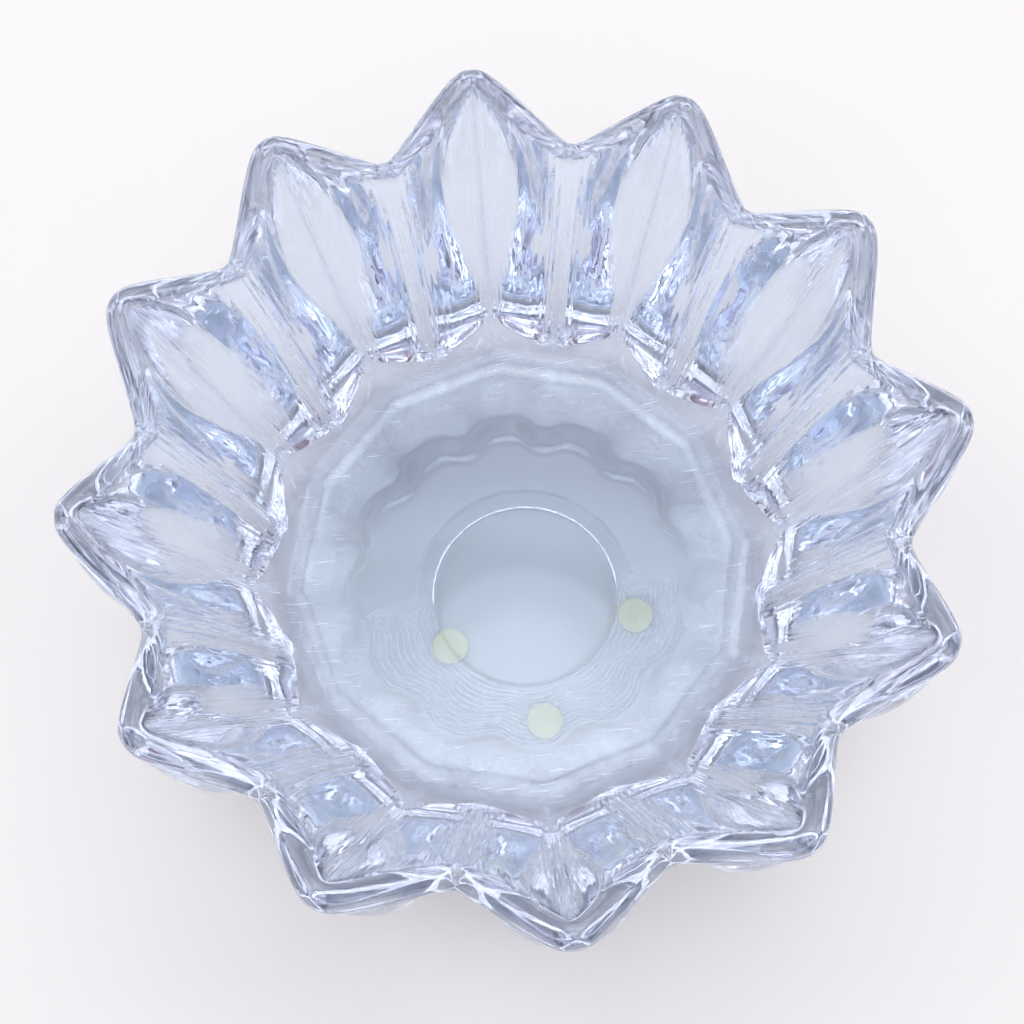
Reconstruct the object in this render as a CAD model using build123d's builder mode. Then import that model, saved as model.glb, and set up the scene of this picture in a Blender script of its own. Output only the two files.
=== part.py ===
"""Pressed crystal bowl for floating candles: a twelve-point star with pleated walls, on stick-on feet."""

import os
from math import cos, radians, sin

from build123d import *

# Rim: a star whose valleys lie lower and nearer the axis than its points
star_points = 12
tip_reach = 101.5
valley_reach = 90.2
tip_top = 103.0
valley_drop = 13.9
lip_width = 6.6
lip_angle = 62.0

# Walls: angle above the horizontal where they rise from the floor and the heel
tip_wall_angle = 74.0
valley_wall_angle = 79.0

# Inside: flat floor with a rounded cove up to the wall
floor_thickness = 9.0
floor_tip_reach = 58.5
floor_valley_reach = 56.5
cove_radius = 12.0

# Outside: scalloped foot, then a shallow dish that turns up at a heel; the ribs under the points reach further out
foot_tip_reach = 50.0
foot_valley_reach = 46.5
tip_heel_reach = 86.5
valley_heel_reach = 71.0
heel_top = 13.5
dish_angle = 5.0
tip_dish_pull = 33.0
valley_dish_pull = 21.0
heel_pull = 6.5

# Half-width of a pleat's rounded point and valley at the foot, heel top, outer lip, inner lip, cove top and floor
tip_rounds = (5.0, 3.5, 4.5, 1.2, 1.2, 1.5)
valley_rounds = (2.5, 2.0, 2.2, 1.6, 1.6, 2.0)

# Outer ribs: how much wider their round grows two thirds of the way up the outer wall
rib_swell = 11.0
outer_wall_stretch = 1

# How late in a stretch a round changes to its next width, the share of a flank that runs in to its round, and how
# many rings follow the first in a stretch
round_delay = 3
flank_run_in = 0.05
rings_per_stretch = 6

# Foot: flat where the bumpers sit, then slanting down towards the back until it stands on the table itself
slant_start = -8.0
slant_end = 42.0
slant_overlap = 1.0

# Polished punty mark ground into the underside, a little off the axis
punty_radius = 26.5
punty_depth = 1.2
punty_reach = 6.5
punty_angle = -81.0

# Stick-on bumper feet: distance from the axis and angle from the point on +X
bumper_diameter = 10.0
bumper_height = 2.5
bumper_edge_round = 0.9
bumper_places = {
    "bumper_left": (28.8, -138.9),
    "bumper_right": (35.2, -26.9),
    "bumper_front": (42.8, -86.7),
}

pitch = 360 / star_points
foot_height = bumper_height
floor_height = foot_height + floor_thickness


def lean(angle):
    """Unit direction in a half-section, at an angle above the horizontal."""
    return Vector(cos(radians(angle)), sin(radians(angle)))


def half_section(lip_reach, lip_top, foot_reach, heel_reach, dish_pull, floor_reach, wall_angle):
    """Stretches of the glass in one upright plane: heel, outer wall, lip, inner wall and cove.

    Each stretch is a list of points, x away from the axis and y up, that rings of the skin pass through.
    """
    lip_radius = lip_width / 2
    lip_centre = Vector(lip_reach - lip_radius, lip_top - lip_radius)
    lip_outside = lip_centre + lean(lip_angle - 90) * lip_radius
    lip_crown = lip_centre + lean(lip_angle) * lip_radius
    lip_inside = lip_centre + lean(lip_angle + 90) * lip_radius
    foot_edge = Vector(foot_reach, foot_height)
    wall_foot = Vector(heel_reach, heel_top)
    dish_handle = foot_edge + lean(dish_angle) * dish_pull
    heel_handle = wall_foot - lean(wall_angle) * heel_pull
    with BuildLine():
        heel = Bezier(foot_edge, dish_handle, heel_handle, wall_foot)
        outer_wall = TangentArc(wall_foot, lip_outside, tangent=heel % 1)
        lip = ThreePointArc(lip_outside, lip_crown, lip_inside)
        cove = JernArc((floor_reach, floor_height), (1, 0), cove_radius, wall_angle)
        inner_wall = TangentArc(cove @ 1, lip_inside, tangent=cove % 1)
    upward = [n / rings_per_stretch for n in range(rings_per_stretch + 1)]
    downward = upward[::-1]
    return [
        [heel @ u for u in upward],
        [outer_wall @ u for u in upward],
        [lip @ u for u in upward],
        [inner_wall @ u for u in downward],
        [cove @ u for u in downward],
    ]


def blended(widths, stretch, share):
    """Width of a round at a share of the way along a stretch."""
    return widths[stretch] + (widths[stretch + 1] - widths[stretch]) * share**round_delay


def rib_round(stretch, share):
    """Half-width of a point's round, fuller high up the outer wall."""
    width = blended(tip_rounds, stretch, share)
    if stretch == outer_wall_stretch:
        width += rib_swell * 27 / 4 * share**2 * (1 - share)
    return width


def half_pleat(tip_point, valley_point, tip_round, valley_round):
    """Half a ring of one pleat: rounded point on the XZ plane, straight flank, rounded valley."""
    across_tip = Vector(0, 1, 0)
    across_valley = across_tip.rotate(Axis.Z, pitch / 2)
    tip = Vector(tip_point.X, 0, tip_point.Y)
    valley = Vector(valley_point.X, 0, valley_point.Y).rotate(Axis.Z, pitch / 2)
    flank_start = tip + across_tip * tip_round
    flank_end = valley - across_valley * valley_round
    run_in = (flank_end - flank_start) * flank_run_in
    with BuildLine() as ring:
        Bezier(tip, flank_start, flank_start + run_in, flank_end - run_in, flank_end, valley)
    return ring.wire()


def all_round(shapes):
    """Copies of half a pleat's edges or faces, mirrored and repeated round the axis."""
    whole_pleat = [*shapes, *(shape.mirror(Plane.XZ) for shape in shapes)]
    return [shape.rotate(Axis.Z, k * pitch) for k in range(star_points) for shape in whole_pleat]


# Skin of half a pleat, lofted one stretch at a time from the foot to the floor
tip_section = half_section(
    tip_reach,
    tip_top,
    foot_tip_reach,
    tip_heel_reach,
    tip_dish_pull,
    floor_tip_reach,
    tip_wall_angle,
)
valley_section = half_section(
    valley_reach,
    tip_top - valley_drop,
    foot_valley_reach,
    valley_heel_reach,
    valley_dish_pull,
    floor_valley_reach,
    valley_wall_angle,
)
skin = []
rings = []
for stretch, (tips, valleys) in enumerate(zip(tip_section, valley_section)):
    shares = [n / (len(tips) - 1) for n in range(len(tips))]
    stretch_rings = [
        half_pleat(tip, valley, rib_round(stretch, share), blended(valley_rounds, stretch, share))
        for tip, valley, share in zip(tips, valleys, shares)
    ]
    skin += Shell.make_loft(stretch_rings).faces()
    rings += stretch_rings
underside = Face(Wire(all_round(rings[0].edges())))
floor = Face(Wire(all_round(rings[-1].edges())))

slant_top = foot_height + slant_overlap
os.makedirs("parts", exist_ok=True)

with BuildPart() as slanting_foot:
    extrude(underside.moved(Location((0, 0, -foot_height))), amount=slant_top, dir=(0, 0, 1))
    with BuildSketch(Plane.YZ):
        with BuildLine():
            Polyline(
                (slant_start, slant_top),
                (slant_start, foot_height),
                (slant_end, 0),
                (tip_reach, 0),
                (tip_reach, slant_top),
                close=True,
            )
        make_face()
    extrude(amount=tip_reach, both=True, mode=Mode.INTERSECT)

with BuildPart() as glass_bowl:
    add(Solid(Shell([*all_round(skin), underside, floor])))
    add(slanting_foot.part)
    with BuildSketch():
        with PolarLocations(punty_reach, 1, start_angle=punty_angle):
            Circle(punty_radius)
    extrude(amount=foot_height + punty_depth, mode=Mode.SUBTRACT)
glass_bowl.part.label = "glass_bowl"
export_step(glass_bowl.part, "parts/glass_bowl.step")

for name, (reach, angle) in bumper_places.items():
    with BuildPart() as bumper:
        with BuildSketch():
            with PolarLocations(reach, 1, start_angle=angle):
                Circle(bumper_diameter / 2)
        extrude(amount=bumper_height)
        fillet(bumper.edges().group_by(Axis.Z)[0], bumper_edge_round)
    bumper.part.label = name
    export_step(bumper.part, f"parts/{name}.step")
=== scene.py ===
import math

import bpy
import numpy as np
from mathutils import Matrix, Vector


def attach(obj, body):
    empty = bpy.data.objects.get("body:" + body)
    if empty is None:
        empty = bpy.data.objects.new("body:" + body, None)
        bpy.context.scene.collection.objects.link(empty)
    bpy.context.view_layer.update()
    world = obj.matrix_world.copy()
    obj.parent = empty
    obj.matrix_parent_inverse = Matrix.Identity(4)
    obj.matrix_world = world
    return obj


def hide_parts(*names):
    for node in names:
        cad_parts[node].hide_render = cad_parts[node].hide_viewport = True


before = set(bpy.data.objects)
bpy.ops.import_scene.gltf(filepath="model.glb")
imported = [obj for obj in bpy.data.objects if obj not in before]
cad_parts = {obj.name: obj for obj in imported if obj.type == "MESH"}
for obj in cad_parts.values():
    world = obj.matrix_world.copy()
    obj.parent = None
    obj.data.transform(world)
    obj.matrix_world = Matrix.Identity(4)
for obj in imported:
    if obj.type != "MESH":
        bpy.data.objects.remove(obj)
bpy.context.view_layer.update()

# Crystal bowl: one piece of pressed lead crystal, a twelve-point star with pleated, flaring walls.
# A mould and a plunger gave it its thick outer ribs and its creased inside, and a flame polished the lip.
# Underneath it has hand-ground lines round a polished disc, the punty mark, a little off the axis.
MM = 0.001
STAR_POINTS = 12
HALF_PLEAT = math.pi / STAR_POINTS
TIP_REACH = 101.5
VALLEY_REACH = 90.2
TIP_TOP = 103.0
VALLEY_DROP = 13.9
LIP_RADIUS = 3.3
LIP_LEAN = 62.0
TIP_WALL_LEAN = 74.0
VALLEY_WALL_LEAN = 79.0
FOOT_HEIGHT = 2.5
FLOOR_THICKNESS = 9.0
FLOOR_HEIGHT = FOOT_HEIGHT + FLOOR_THICKNESS
FLOOR_TIP_REACH = 58.5
FLOOR_VALLEY_REACH = 56.5
COVE_RADIUS = 12.0
FOOT_TIP_REACH = 50.0
FOOT_VALLEY_REACH = 46.5
TIP_HEEL_REACH = 86.5
VALLEY_HEEL_REACH = 71.0
HEEL_TOP = 13.5
DISH_LEAN = 5.0
TIP_DISH_PULL = 33.0
VALLEY_DISH_PULL = 21.0
HEEL_PULL = 6.5

# Half-width of a pleat's rounded point and valley at the foot, heel top, outer lip, inner lip, cove top and
# floor, and how much fuller the points' ribs grow two thirds of the way up the outer wall
TIP_ROUNDS = (5.0, 3.5, 4.5, 1.2, 1.2, 1.5)
VALLEY_ROUNDS = (2.5, 2.0, 2.2, 1.6, 1.6, 2.0)
ROUND_DELAY = 3
FLANK_RUN_IN = 0.05
RIB_SWELL = 11.0

# Steps of the mesh along half a pleat, along heel, outer wall, lip, inner wall and cove, and over the floor
PLEAT_STEPS = 16
SECTION_STEPS = (28, 36, 24, 36, 24)
FLOOR_STEPS = 25


def lean(angle):
    """Unit direction in a half-section, at an angle in degrees above the horizontal."""
    return np.array([math.cos(math.radians(angle)), math.sin(math.radians(angle))])


def bend(start, heading, radius, turn, steps):
    """Points of an arc that leaves start at a heading and turns left, as (reach, height) rows."""
    return np.array([start + 2 * radius * math.sin(math.radians(t / 2)) * lean(heading + t / 2)
                     for t in np.linspace(0, turn, steps + 1)])


def bend_to(start, heading, end, steps):
    """Points of the arc that leaves start at a heading and reaches end."""
    chord = end - start
    swing = math.degrees(math.atan2(chord[1], chord[0])) - heading
    reach = np.hypot(*chord) / math.sin(math.radians(swing))
    return np.array([start + reach * math.sin(math.radians(swing * t)) * lean(heading + swing * t)
                     for t in np.linspace(0, 1, steps + 1)])


def bezier(controls, steps):
    """Points along the Bezier curve of some control points."""
    order = len(controls) - 1
    u = np.linspace(0, 1, steps + 1)[:, None]
    shares = [math.comb(order, k) * u**k * (1 - u) ** (order - k) for k in range(order + 1)]
    return np.hstack(shares) @ controls


def half_section(lip_reach, lip_top, foot_reach, heel_reach, dish_pull, floor_reach, wall_lean):
    """Glass in one upright plane, from the foot up over the lip and down to the floor."""
    heel_steps, outer_steps, lip_steps, inner_steps, cove_steps = SECTION_STEPS
    lip_centre = np.array([lip_reach - LIP_RADIUS, lip_top - LIP_RADIUS])
    lip_angles = LIP_LEAN + np.linspace(-90, 90, lip_steps + 1)
    foot = np.array([foot_reach, FOOT_HEIGHT])
    wall_foot = np.array([heel_reach, HEEL_TOP])
    dish_handle = foot + dish_pull * lean(DISH_LEAN)
    heel_handle = wall_foot - HEEL_PULL * lean(wall_lean)
    heel = bezier(np.array([foot, dish_handle, heel_handle, wall_foot]), heel_steps)
    lip = np.array([lip_centre + LIP_RADIUS * lean(a) for a in lip_angles])
    outer_wall = bend_to(heel[-1], wall_lean, lip[0], outer_steps)
    cove = bend(np.array([floor_reach, FLOOR_HEIGHT]), 0, COVE_RADIUS, wall_lean, cove_steps)
    inner_wall = bend_to(cove[-1], wall_lean, lip[-1], inner_steps)
    return np.vstack([heel[:-1], outer_wall[:-1], lip[:-1], inner_wall[:0:-1], cove[::-1]])


def blended(widths):
    """Width of a round at each ring, changing late in each stretch of the section."""
    rows = [a + (b - a) * np.linspace(0, 1, steps, endpoint=False) ** ROUND_DELAY
            for a, b, steps in zip(widths, widths[1:], SECTION_STEPS)]
    return np.append(np.hstack(rows), widths[-1])


def pleat_ring(tip, valley, tip_round, valley_round):
    """One ring of the star: rounded points, straight flanks and rounded valleys, as x, y, z rows."""
    point = np.array([tip[0], 0, tip[1]])
    trough = np.array([valley[0] * math.cos(HALF_PLEAT), valley[0] * math.sin(HALF_PLEAT), valley[1]])
    flank_start = point + np.array([0, tip_round, 0])
    flank_end = trough - np.array([-math.sin(HALF_PLEAT), math.cos(HALF_PLEAT), 0]) * valley_round
    run_in = (flank_end - flank_start) * FLANK_RUN_IN
    controls = np.array([point, flank_start, flank_start + run_in, flank_end - run_in, flank_end, trough])
    half_pleat = bezier(controls, PLEAT_STEPS)
    pleat = np.vstack([half_pleat[:0:-1] * (1, -1, 1), half_pleat[:-1]])
    rows = []
    for k in range(STAR_POINTS):
        c, s = math.cos(2 * HALF_PLEAT * k), math.sin(2 * HALF_PLEAT * k)
        rows.append(pleat @ np.array([[c, s, 0], [-s, c, 0], [0, 0, 1]]))
    return np.vstack(rows)


tip_section = half_section(TIP_REACH, TIP_TOP, FOOT_TIP_REACH, TIP_HEEL_REACH, TIP_DISH_PULL,
                           FLOOR_TIP_REACH, TIP_WALL_LEAN)
valley_section = half_section(VALLEY_REACH, TIP_TOP - VALLEY_DROP, FOOT_VALLEY_REACH, VALLEY_HEEL_REACH,
                              VALLEY_DISH_PULL, FLOOR_VALLEY_REACH, VALLEY_WALL_LEAN)
tip_widths = blended(TIP_ROUNDS)
climb = np.linspace(0, 1, SECTION_STEPS[1], endpoint=False)
outer_wall = slice(SECTION_STEPS[0], sum(SECTION_STEPS[:2]))
tip_widths[outer_wall] += RIB_SWELL * 27 / 4 * climb**2 * (1 - climb)
stations = zip(tip_section, valley_section, tip_widths, blended(VALLEY_ROUNDS))
skin = [pleat_ring(*station) for station in stations]
foot_edge, floor_edge = skin[0], skin[-1]
floor_rings = [floor_edge * (s, s, 1) for s in np.linspace(1, 0, FLOOR_STEPS + 1)[1:-1]]

# A shallow channel down each inner crease, left by the plunger's edge and gone before the floor and the lip
CREASE_WIDTH = 3.4
CREASE_EDGE = 0.8
CREASE_DEPTH = 0.9
CREASE_LOW = 14.0
CREASE_HIGH = 96.0
CREASE_FADE = 12.0


def ramp(values, start, end):
    """Share from 0 at start to 1 at end, held beyond both."""
    return np.clip((values - start) / (end - start), 0, 1)


def eased(share):
    """Share with a soft start and end."""
    return share * share * (3 - 2 * share)


def fold_gaps(rows):
    """Distance of each point, round the axis, from the nearest crease and from the nearest ridge."""
    reach = np.hypot(rows[:, 0], rows[:, 1])
    turn = np.arctan2(rows[:, 1], rows[:, 0]) / HALF_PLEAT
    crease = np.abs(turn - 2 * np.round(turn / 2)) * HALF_PLEAT * reach
    ridge = np.abs(turn - 1 - 2 * np.round((turn - 1) / 2)) * HALF_PLEAT * reach
    return crease, ridge


for ring in skin[sum(SECTION_STEPS[:3]):sum(SECTION_STEPS[:4])]:
    heights = ring[:, 2]
    side = eased(ramp(fold_gaps(ring)[0], CREASE_WIDTH / 2 + CREASE_EDGE, CREASE_WIDTH / 2))
    fade = ramp(heights, CREASE_LOW, CREASE_LOW + CREASE_FADE)
    fade = fade * ramp(heights, CREASE_HIGH, CREASE_HIGH - CREASE_FADE)
    ring[:, :2] *= (1 + CREASE_DEPTH * side * fade / np.hypot(ring[:, 0], ring[:, 1]))[:, None]

# Underside: level under the near half, then slanting down to the table at the back. The ground band fills
# the near half of the foot and narrows to a few millimetres behind the polished disc, which is sunk in.
# The foot's edge runs in by its chamfer, and where the foot drops by its slope for each mm of the drop.
SLANT_START = -8.0
SLANT_END = 42.0
FOOT_CHAMFER = 0.15
FOOT_SLOPE = 3.8
FOOT_EDGE_STEPS = 6
PLAIN_STEPS = 8
PUNTY_RADIUS = 26.5
PUNTY_DEPTH = 1.2
PUNTY_DISH = 0.85
PUNTY_REACH = 6.5
PUNTY_ANGLE = -81.0
GROUND_LINES = 12
GROUND_DEPTH = 0.12
GROUND_MARGIN = 0.6
GROUND_FAR_WIDTH = 4.0
GROUND_WIDENS = (3.0, -11.0)

# Across one ground line: share of its width, share of its depth, and how white the grinding left it.
# Across the disc's edge: share of its radius and share of its depth. The disc itself is nearly clear.
LINE_PROFILE = ((0.0, 0.0, 0.5), (0.18, 1.0, 0.0), (0.36, 0.0, 0.5), (0.68, 0.0, 0.8))
LAST_LINE_WHITE = 0.5
PUNTY_STEP = ((0.992, 0.3), (0.985, 0.7), (0.975, 0.95))
PUNTY_FLAT = 0.96
PUNTY_RINGS = 17
PUNTY_WHITE = 0.05

punty_centre = np.append(PUNTY_REACH * lean(PUNTY_ANGLE), 0)
punty_middle = punty_centre + (0, 0, FOOT_HEIGHT + PUNTY_DEPTH)
floor_middle = np.array([0, 0, FLOOR_HEIGHT])
spokes = np.arctan2(foot_edge[:, 1], foot_edge[:, 0])
punty_edge = punty_centre + PUNTY_RADIUS * np.stack([np.cos(spokes), np.sin(spokes), 0 * spokes], axis=1)
foot_outline = foot_edge * (1, 1, 0)
full_width = np.linalg.norm(foot_outline - punty_edge, axis=1)
near_half = eased(ramp(foot_edge[:, 1], *GROUND_WIDENS))
band_width = near_half * (full_width - GROUND_MARGIN) + (1 - near_half) * GROUND_FAR_WIDTH
band_start = 1 - band_width / full_width


def under_ring(share, depth=0, fall=1):
    """Ring of the underside at a share of the way from the foot's outline to the disc, sunk by a depth.

    Fall is the share of the foot's slant that the ring has reached.
    """
    ring = foot_outline + (punty_edge - foot_outline) * share[:, None]
    ring[:, 2] = FOOT_HEIGHT * (1 - fall * ramp(ring[:, 1], SLANT_START, SLANT_END)) + depth
    return ring


drop = FOOT_HEIGHT * ramp(foot_edge[:, 1], SLANT_START, SLANT_END)
edge_share = (FOOT_CHAMFER + FOOT_SLOPE * drop) / full_width
edge_steps = np.linspace(0, 1, FOOT_EDGE_STEPS + 1)[1:]
plain_steps = np.linspace(0, 1, PLAIN_STEPS + 1)[1:-1]
under_rings = [under_ring(edge_share * s, fall=eased(s)) for s in edge_steps]
under_rings += [under_ring(edge_share * (1 - s) + band_start * s) for s in plain_steps]
ground_marks = [0.0] * len(under_rings)
groove = GROUND_DEPTH * band_width / band_width.max()
for line in range(GROUND_LINES):
    for across, depth, white in LINE_PROFILE:
        share = band_start + (1 - band_start) * (line + across) / GROUND_LINES
        under_rings.append(under_ring(share, depth * groove))
        ground_marks.append(white)
under_rings.append(under_ring(np.ones_like(spokes)))
ground_marks.append(LAST_LINE_WHITE)
punty_rim = under_rings[-1][:, 2]
punty_flat = [(s, 1.0) for s in np.linspace(PUNTY_FLAT, 0, PUNTY_RINGS + 1)[:-1]]
for scale, rise in (*PUNTY_STEP, *punty_flat):
    ring = punty_centre + (punty_edge - punty_centre) * scale
    ring[:, 2] = punty_rim * (1 - rise) + (FOOT_HEIGHT + PUNTY_DEPTH - PUNTY_DISH * scale**2) * rise
    under_rings.append(ring)
    ground_marks.append(PUNTY_WHITE)
bowl_rings = under_rings[::-1] + skin + floor_rings


def ring_mesh(name, rings, first_point, last_point):
    """Closed smooth mesh through rings of equal counts, with a fan to a point at each end."""
    count = len(rings[0])
    points = np.vstack([*rings, first_point, last_point]) * MM
    here = np.arange(count)
    after = np.roll(here, -1)
    first, last, top = len(points) - 2, len(points) - 1, (len(rings) - 1) * count
    faces = []
    for k in range(len(rings) - 1):
        low, high = k * count, (k + 1) * count
        faces += np.stack([low + here, low + after, high + after, high + here], axis=1).tolist()
    faces += [(first, j, i) for i, j in zip(here.tolist(), after.tolist())]
    faces += [(last, top + i, top + j) for i, j in zip(here.tolist(), after.tolist())]
    mesh = bpy.data.meshes.new(name)
    mesh.from_pydata(points.tolist(), [], faces)
    mesh.polygons.foreach_set("use_smooth", [True] * len(mesh.polygons))
    piece = bpy.data.objects.new(name, mesh)
    bpy.context.scene.collection.objects.link(piece)
    return piece


bowl = ring_mesh("crystal_bowl", bowl_rings, punty_middle, floor_middle)

# Where the glass is made white: rubbed white at the floor's edge most, painted light in a crescent over the
# ground band where light falls on the near half of the floor, and whitened along the lower folds of the
# inner wall. The bumpers, given by reach and angle, are glued on and the glue fills the ground lines, so the
# glass over them is clear. Each pair is where a mark starts and where it is full, in mm.
BUMPER_PLACES = {"bumper_left": (28.8, -138.9), "bumper_right": (35.2, -26.9), "bumper_front": (42.8, -86.7)}
GROUND_OFF_BUMPER = (4.6, 5.4)
FLOOR_WEAR_HEIGHTS = (18, 13)
FLOOR_WEAR_REACHES = (45, 54)
FLOOR_LEAST_WEAR = 0.06
CRESCENT_PAINTED_LIGHT = 0.6
CRESCENT_IN_FOOT = (0, 2.5)
CRESCENT_OFF_PUNTY = (-1, 1.5)
CRESCENT_OFF_BUMPER = (3, 7)
FOLD_WHITE_WIDTH = 2.2
FOLD_WHITE_HEIGHTS = (70, 20)
FOLD_WHITE_OFF_FLOOR = (0, 4)
WAVE_RELIEF = 0.14
WAVE_START_HEIGHTS = (13, 23)

points = np.vstack([*bowl_rings, punty_middle, floor_middle])
punty_index, floor_index = len(points) - 2, len(points) - 1
ring_count = len(foot_edge)
under_count = len(under_rings) * ring_count
inside_start = under_count + sum(SECTION_STEPS[:3]) * ring_count
inside = np.append(np.arange(inside_start, punty_index), floor_index)
inner = points[inside]
reach = np.hypot(inner[:, 0], inner[:, 1])
height = inner[:, 2]
bumper_gaps = [np.hypot(*(points[:, :2] - far * lean(angle)).T) for far, angle in BUMPER_PLACES.values()]
bumper_gap = np.min(bumper_gaps, axis=0)

ground = np.zeros(len(points))
ground[:under_count] = np.repeat(ground_marks[::-1], ring_count)
ground[punty_index] = PUNTY_WHITE
ground *= ramp(bumper_gap, *GROUND_OFF_BUMPER)

crease_gap, ridge_gap = fold_gaps(inner)
# Whitened along the lower folds of the inner wall, more towards the floor, fading in just above it
fold_white = np.exp(-((np.minimum(crease_gap, ridge_gap) / FOLD_WHITE_WIDTH) ** 2))
fold_white *= ramp(height, *FOLD_WHITE_HEIGHTS) * ramp(height - FLOOR_HEIGHT, *FOLD_WHITE_OFF_FLOOR)
floor_wear = ramp(height, *FLOOR_WEAR_HEIGHTS)
floor_wear *= np.maximum(ramp(reach, *FLOOR_WEAR_REACHES), FLOOR_LEAST_WEAR)
bearing = np.arctan2(inner[:, 1], inner[:, 0])
foot_reach = np.interp(bearing, spokes, np.hypot(foot_edge[:, 0], foot_edge[:, 1]), period=2 * np.pi)
punty_gap = np.hypot(*(inner[:, :2] - punty_centre[:2]).T) - PUNTY_RADIUS
# Painted light: the near half of the floor over the ground band is made whiter, as where light falls on it
painted_light_crescent = ramp(foot_reach - reach, *CRESCENT_IN_FOOT) * ramp(inner[:, 1], *GROUND_WIDENS)
painted_light_crescent *= ramp(punty_gap, *CRESCENT_OFF_PUNTY) * ramp(bumper_gap[inside], *CRESCENT_OFF_BUMPER)
wear_and_painted_light = np.zeros(len(points))
wear_and_painted_light[inside] = np.maximum.reduce([floor_wear, CRESCENT_PAINTED_LIGHT * painted_light_crescent, fold_white])

# Distance from the folds in mm, made longer near the floor so that the lines along the folds end before it,
# and counted faster from a crease, whose lines lie closer together
FOLD_END = 12.0
FOLD_FADE = 9.0
CREASE_CLOSENESS = 1.6
NO_FOLD = 99.0
past_fold = FOLD_FADE * ramp(height, FOLD_END + FOLD_FADE, FOLD_END)
tip_gap = np.full(len(points), NO_FOLD)
tip_gap[inside] = crease_gap + past_fold
fold_gap = np.full(len(points), NO_FOLD)
fold_gap[inside] = np.minimum(CREASE_CLOSENESS * tip_gap[inside], ridge_gap + past_fold)
wave_height = WAVE_RELIEF * ramp(points[:, 2], *WAVE_START_HEIGHTS)
for name, values in (("wear_and_painted_light", wear_and_painted_light), ("ground", ground), ("tip_gap", tip_gap), ("fold_gap", fold_gap),
                     ("wave_height", wave_height)):
    layer = bowl.data.attributes.new(name, "FLOAT", "POINT")
    layer.data.foreach_set("value", values.astype(np.float32))


def linear(hex_colour):
    """Linear colour of an sRGB hex value."""
    channels = [int(hex_colour[i:i + 2], 16) / 255 for i in (1, 3, 5)]
    return [c / 12.92 if c <= 0.04045 else ((c + 0.055) / 1.055) ** 2.4 for c in channels] + [1]


def add_node(tree, kind, settings=None, links=None):
    """One shader node with its settings, fed by (node, output) pairs."""
    node = tree.nodes.new(kind)
    for key, value in (settings or {}).items():
        if isinstance(key, int) or key in node.inputs:
            node.inputs[key].default_value = value
        else:
            setattr(node, key, value)
    for key, (source, output) in (links or {}).items():
        tree.links.new(source.outputs[output], node.inputs[key])
    return node


def new_material(name):
    """Empty node material with its output."""
    material = bpy.data.materials.new(name)
    material.use_nodes = True
    material.node_tree.nodes.clear()
    return material, material.node_tree, add_node(material.node_tree, "ShaderNodeOutputMaterial")


# Lead crystal, pressed and fire-polished: it bends light hard, is clear with a cold tint, and is a little
# wavy from the mould. Years of use left a white bloom and fine scratches on the floor; the same marks also
# whiten the lower folds and lay a painted light crescent on the near half of the floor, and a painted
# highlight runs down each crease.
CRYSTAL_TINT = "#EAF2FF"
CRYSTAL_IOR = 1.545
GROUND_HAZE = 0.5
BLOOM_PATCH = 14
SCRATCH_LENGTH = 12
SCRATCH_SPACING = 0.5
SCRATCH_HEIGHT = 40
SCRATCH_ANGLES = (12, 58, 101, 147)
WAVE_SPACING = 5
WAVE_LENGTH = 60
LINE_SPACING = 2.0
LINE_RELIEF = 0.06
LINE_WANDER = 3.5
LINE_FADE = (2.0, 9.0)
crystal, tree, output = new_material("lead_crystal_fire_polished")
place = add_node(tree, "ShaderNodeTexCoord")
wear_and_light_mark = add_node(tree, "ShaderNodeAttribute", {"attribute_name": "wear_and_painted_light"})
ground_mark = add_node(tree, "ShaderNodeAttribute", {"attribute_name": "ground"})

# Bloom in soft patches that never quite clear
bloom = add_node(tree, "ShaderNodeTexNoise",
                 {"Scale": 1 / (BLOOM_PATCH * MM), "Detail": 5.0, "Roughness": 0.65},
                 {"Vector": (place, "Object")})
bloom_share = add_node(tree, "ShaderNodeMapRange",
                       {"From Min": 0.4, "From Max": 0.75, "To Min": 0.24, "To Max": 0.44},
                       {"Value": (bloom, "Fac")})

# Scratches about half their spacing wide, in four directions, wider than real ones so that they show
scratches = None
for angle in SCRATCH_ANGLES:
    turned = add_node(tree, "ShaderNodeMapping",
                      {"Rotation": (0, 0, math.radians(angle)),
                       "Scale": (1 / (SCRATCH_LENGTH * MM), 1 / (SCRATCH_SPACING * MM),
                                 1 / (SCRATCH_HEIGHT * MM))},
                      {"Vector": (place, "Object")})
    streak = add_node(tree, "ShaderNodeTexNoise", {"Scale": 1.0, "Detail": 1.0},
                      {"Vector": (turned, "Vector")})
    cut = add_node(tree, "ShaderNodeMapRange",
                   {"From Min": 0.71, "From Max": 0.77, "To Min": 0.0, "To Max": 0.8},
                   {"Value": (streak, "Fac")})
    if scratches is None:
        scratches = cut
    else:
        scratches = add_node(tree, "ShaderNodeMath", {"operation": "MAXIMUM"},
                             {0: (scratches, 0), 1: (cut, 0)})
marks = add_node(tree, "ShaderNodeMath", {"operation": "MAXIMUM"},
                 {0: (bloom_share, "Result"), 1: (scratches, 0)})
# The marks are laid by the wear attribute, which holds the floor's real wear and also the painted light
# crescent
worn_and_painted_light = add_node(tree, "ShaderNodeMath", {"operation": "MULTIPLY"}, {0: (marks, 0), 1: (wear_and_light_mark, "Fac")})

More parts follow.
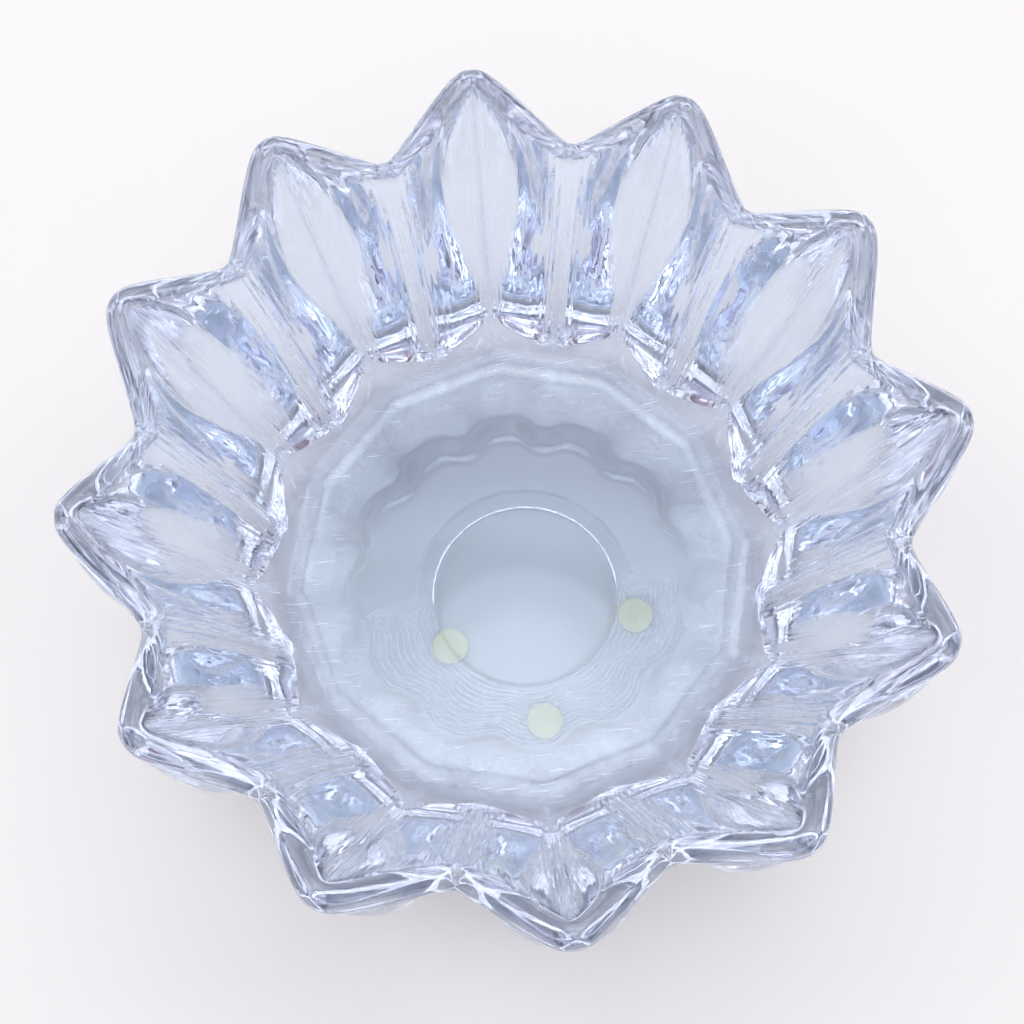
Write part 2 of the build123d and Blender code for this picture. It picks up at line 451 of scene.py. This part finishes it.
# A whitish line 1 mm wide down the middle of each inner crease: partly the rough skin left by the plunger's
# edge, partly a painted highlight along the crease
crease_mark = add_node(tree, "ShaderNodeAttribute", {"attribute_name": "tip_gap"})
crease_highlight_paint = add_node(tree, "ShaderNodeMapRange",
                {"interpolation_type": "SMOOTHSTEP", "From Min": 0.25, "From Max": 0.75, "To Min": 0.3,
                 "To Max": 0.0},
                {"Value": (crease_mark, "Fac")})
whitened = add_node(tree, "ShaderNodeMath", {"operation": "MAXIMUM"}, {0: (worn_and_painted_light, 0), 1: (crease_highlight_paint, "Result")})
hazed = add_node(tree, "ShaderNodeMath", {"operation": "MULTIPLY_ADD", 1: GROUND_HAZE},
                 {0: (ground_mark, "Fac"), 2: (whitened, 0)})
clear = add_node(tree, "ShaderNodeMath", {"operation": "SUBTRACT", 0: 1.0}, {1: (hazed, 0)})

# Mould waves that run up the wall
waves_place = add_node(tree, "ShaderNodeMapping",
                       {"Scale": (1 / (WAVE_SPACING * MM), 1 / (WAVE_SPACING * MM), 1 / (WAVE_LENGTH * MM))},
                       {"Vector": (place, "Object")})
waves = add_node(tree, "ShaderNodeTexNoise", {"Scale": 1.0, "Detail": 2.0, "Roughness": 0.5},
                 {"Vector": (waves_place, "Vector")})
wave_mark = add_node(tree, "ShaderNodeAttribute", {"attribute_name": "wave_height"})

# Lines drawn in the skin along the inner folds, 0.06 mm either way and wandering with the waves: 2 mm apart
# and gone 9 mm from a ridge, 1.25 mm apart and gone 5.6 mm from a crease
fold_mark = add_node(tree, "ShaderNodeAttribute", {"attribute_name": "fold_gap"})
lines_phase = add_node(tree, "ShaderNodeMath",
                       {"operation": "MULTIPLY", 1: 2 * math.pi / LINE_SPACING},
                       {0: (fold_mark, "Fac")})
wander = add_node(tree, "ShaderNodeMath", {"operation": "MULTIPLY_ADD", 1: LINE_WANDER},
                  {0: (waves, "Fac"), 2: (lines_phase, 0)})
lines = add_node(tree, "ShaderNodeMath", {"operation": "SINE"}, {0: (wander, 0)})
lines_height = add_node(tree, "ShaderNodeMapRange",
                        {"From Min": LINE_FADE[0], "From Max": LINE_FADE[1], "To Min": LINE_RELIEF,
                         "To Max": 0.0},
                        {"Value": (fold_mark, "Fac")})
drawn = add_node(tree, "ShaderNodeMath", {"operation": "MULTIPLY"},
                 {0: (lines, 0), 1: (lines_height, "Result")})
height_mm = add_node(tree, "ShaderNodeMath", {"operation": "MULTIPLY_ADD"},
                     {0: (waves, "Fac"), 1: (wave_mark, "Fac"), 2: (drawn, 0)})
relief = add_node(tree, "ShaderNodeBump", {"Strength": 1.0, "Distance": MM}, {"Height": (height_mm, 0)})
glass = add_node(tree, "ShaderNodeBsdfPrincipled",
                 {"Base Color": linear(CRYSTAL_TINT), "Roughness": 0.0, "IOR": CRYSTAL_IOR},
                 {"Transmission Weight": (clear, 0), "Normal": (relief, "Normal")})
tree.links.new(glass.outputs["BSDF"], output.inputs["Surface"])
bowl.data.materials.append(crystal)
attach(bowl, "root")
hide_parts("glass_bowl")

# Bumper feet: three stick-on polyurethane discs with a rounded lower edge, pressed on by hand under the near
# half of the foot so that the bowl stands level. They have yellowed to cream.
BUMPER_RADIUS = 5.0
BUMPER_HEIGHT = FOOT_HEIGHT
BUMPER_ROUND = 0.9
BUMPER_ROUND_STEPS = 7
BUMPER_TOP_ROUND = 0.15
BUMPER_TOP_CORNER = 0.04
BUMPER_STEPS = 64
GLUE_GAP = 0.02


def bumper_ring(reach, height, centre):
    """Level ring of points round a centre."""
    turn = np.linspace(0, 2 * np.pi, BUMPER_STEPS, endpoint=False)
    across = centre[0] + reach * np.cos(turn)
    along = centre[1] + reach * np.sin(turn)
    return np.stack([across, along, np.full(BUMPER_STEPS, height)], axis=1)


# Moulded polyurethane, aged: an even satin cream, slightly mottled where it has yellowed
CREAM = "#FBF5C8"
YELLOWED = "#F2E7A8"
MOTTLE_PATCH = 3
cream, tree, output = new_material("polyurethane_moulded_aged")
place = add_node(tree, "ShaderNodeTexCoord")
mottle = add_node(tree, "ShaderNodeTexNoise", {"Scale": 1 / (MOTTLE_PATCH * MM), "Detail": 3.0},
                  {"Vector": (place, "Object")})
yellowed = add_node(tree, "ShaderNodeMix", {"data_type": "RGBA", 6: linear(CREAM), 7: linear(YELLOWED)},
                    {0: (mottle, "Fac")})
rubber = add_node(tree, "ShaderNodeBsdfPrincipled", {"Roughness": 0.4, "IOR": 1.5},
                  {"Base Color": (yellowed, 2)})
tree.links.new(rubber.outputs["BSDF"], output.inputs["Surface"])

# Half-profile from the middle of the underside, round the lower edge, up and back over the glued top
bumper_top = BUMPER_HEIGHT - GLUE_GAP
bumper_profile = [(s * (BUMPER_RADIUS - BUMPER_ROUND), 0.0) for s in (0.3, 0.7)]
bumper_profile += [(BUMPER_RADIUS - BUMPER_ROUND * (1 - math.sin(t)), BUMPER_ROUND * (1 - math.cos(t)))
                   for t in np.linspace(0, math.pi / 2, BUMPER_ROUND_STEPS + 1)]
bumper_profile += [(BUMPER_RADIUS, bumper_top - BUMPER_TOP_ROUND),
                   (BUMPER_RADIUS - BUMPER_TOP_CORNER, bumper_top - BUMPER_TOP_CORNER),
                   (BUMPER_RADIUS - BUMPER_TOP_ROUND, bumper_top)]
bumper_profile += [(s * BUMPER_RADIUS, bumper_top) for s in (0.7, 0.3)]
for name, (far, angle) in BUMPER_PLACES.items():
    centre = far * lean(angle)
    bumper_rings = [bumper_ring(r, z, centre) for r, z in bumper_profile]
    bumper = ring_mesh(name + "_foot", bumper_rings, (*centre, 0), (*centre, bumper_top))
    bumper.data.materials.append(cream)
    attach(bumper, "root")
    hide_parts(name)

# Table top: a plain pale board that the bowl stands on, so wide that its edge is out of sight.
# It lies a hair under the bowl's feet, so that no two faces share one plane.
TABLE_WIDTH = 40000
TABLE_DROP = 0.05
bpy.ops.mesh.primitive_plane_add(size=TABLE_WIDTH * MM, location=(0, 0, -TABLE_DROP * MM))
table = bpy.context.object
table.name = "table"

# Matt lacquer: an even off-white with no gloss to speak of
LACQUER = "#DED8CE"
paint, tree, output = new_material("matt_white_lacquer")
matt = add_node(tree, "ShaderNodeBsdfPrincipled", {"Base Color": linear(LACQUER), "Roughness": 0.6})
tree.links.new(matt.outputs["BSDF"], output.inputs["Surface"])
table.data.materials.append(paint)

# Studio: a lavender-grey room with a bright ceiling, darker in a ring round its middle, and softboxes round
# the table. The ceiling's bright middle and its dark ring are what the floor of the bowl mirrors.
ROOM_STRENGTH = 4.0
SOFTBOX_COLOUR = "#F6F8FF"

# Colours of the room by how far up a direction points, from 0 at the horizon to 1 straight up
ROOM_COLOURS = ((0.0, "#2E282B"), (0.12, "#40353D"), (0.45, "#5A4C57"), (0.66, "#5F535E"),
                (0.74, "#929CA8"), (0.88, "#929CA8"), (0.915, "#564A5B"), (0.948, "#564A5B"),
                (0.96, "#CCDADF"), (1.0, "#CCDADF"))

# Azimuth and height of each softbox's middle, half its width and half its soft edge in degrees, its strength
SOFTBOXES = ((75, 45, 24, 5, 1.8), (150, 35, 14, 4, 2.9), (15, 32, 12, 4, 2.7), (-105, 40, 11, 4, 1.5),
             (-35, 34, 9, 4, 1.4), (205, 30, 9, 4, 1.6), (85, 89, 9, 4, 2.4))
world = bpy.data.worlds.new("studio")
bpy.context.scene.world = world
world.use_nodes = True
tree = world.node_tree
tree.nodes.clear()
room_output = add_node(tree, "ShaderNodeOutputWorld")
direction = add_node(tree, "ShaderNodeTexCoord")
split = add_node(tree, "ShaderNodeSeparateXYZ", links={"Vector": (direction, "Generated")})
room = add_node(tree, "ShaderNodeValToRGB", links={"Fac": (split, "Z")})
for k, (upward, colour) in enumerate(ROOM_COLOURS):
    stop = room.color_ramp.elements[k] if k < 2 else room.color_ramp.elements.new(upward)
    stop.position = upward
    stop.color = linear(colour)
light = add_node(tree, "ShaderNodeBackground", {"Strength": ROOM_STRENGTH}, {"Color": (room, "Color")})
for azimuth, rise, spread, soft, strength in SOFTBOXES:
    level, aim_up = lean(rise)
    aim = (level * math.cos(math.radians(azimuth)), level * math.sin(math.radians(azimuth)), aim_up)
    facing_it = add_node(tree, "ShaderNodeVectorMath", {"operation": "DOT_PRODUCT", 1: aim},
                         {0: (direction, "Generated")})
    glow = add_node(tree, "ShaderNodeMapRange",
                    {"interpolation_type": "SMOOTHSTEP", "From Min": math.cos(math.radians(spread + soft)),
                     "From Max": math.cos(math.radians(spread - soft)), "To Min": 0.0, "To Max": strength},
                    {"Value": (facing_it, "Value")})
    softbox = add_node(tree, "ShaderNodeBackground", {"Color": linear(SOFTBOX_COLOUR)},
                       {"Strength": (glow, "Result")})
    light = add_node(tree, "ShaderNodeAddShader", links={0: (light, 0), 1: (softbox, 0)})
tree.links.new(light.outputs[0], room_output.inputs["Surface"])

# Light goes round many times inside thick glass before it comes out, so its paths are kept long
LIGHT_BOUNCES = 32
bpy.context.scene.cycles.max_bounces = LIGHT_BOUNCES
bpy.context.scene.cycles.glossy_bounces = LIGHT_BOUNCES
bpy.context.scene.cycles.transmission_bounces = LIGHT_BOUNCES
bpy.context.scene.view_settings.view_transform = "Standard"

# Camera: where the photograph was taken from, above the near side and nearly straight down
VIEW_AZIMUTH = -4.7
VIEW_ELEVATION = 73.37
VIEW_ROLL = -1.754
VIEW_DISTANCE = 2.8987 * TIP_REACH
VIEW_TARGET = (-0.0141 * TIP_REACH, -0.0968 * TIP_REACH, TIP_TOP - LIP_RADIUS)
SENSOR_WIDTH = 36
FOCAL_PIXELS = 1351.9
FRAME_PIXELS = 1024
camera = bpy.data.cameras.new("camera")
camera.sensor_width = SENSOR_WIDTH
camera.lens = SENSOR_WIDTH * FOCAL_PIXELS / FRAME_PIXELS
camera.clip_start = 10 * MM
holder = bpy.data.objects.new("camera", camera)
bpy.context.scene.collection.objects.link(holder)
elevation, roll = math.radians(VIEW_ELEVATION), math.radians(VIEW_ROLL)
level_right = Vector((1, 0, 0))
back = Vector((0, -math.cos(elevation), math.sin(elevation)))
level_up = back.cross(level_right)
right = math.cos(roll) * level_right + math.sin(roll) * level_up
up = math.cos(roll) * level_up - math.sin(roll) * level_right
stand = Matrix.Rotation(math.radians(VIEW_AZIMUTH), 4, "Z")
facing = Matrix((right, up, back)).transposed().to_4x4()
facing.translation = (Vector(VIEW_TARGET) + back * VIEW_DISTANCE) * MM
holder.matrix_world = stand @ facing
bpy.context.scene.camera = holder
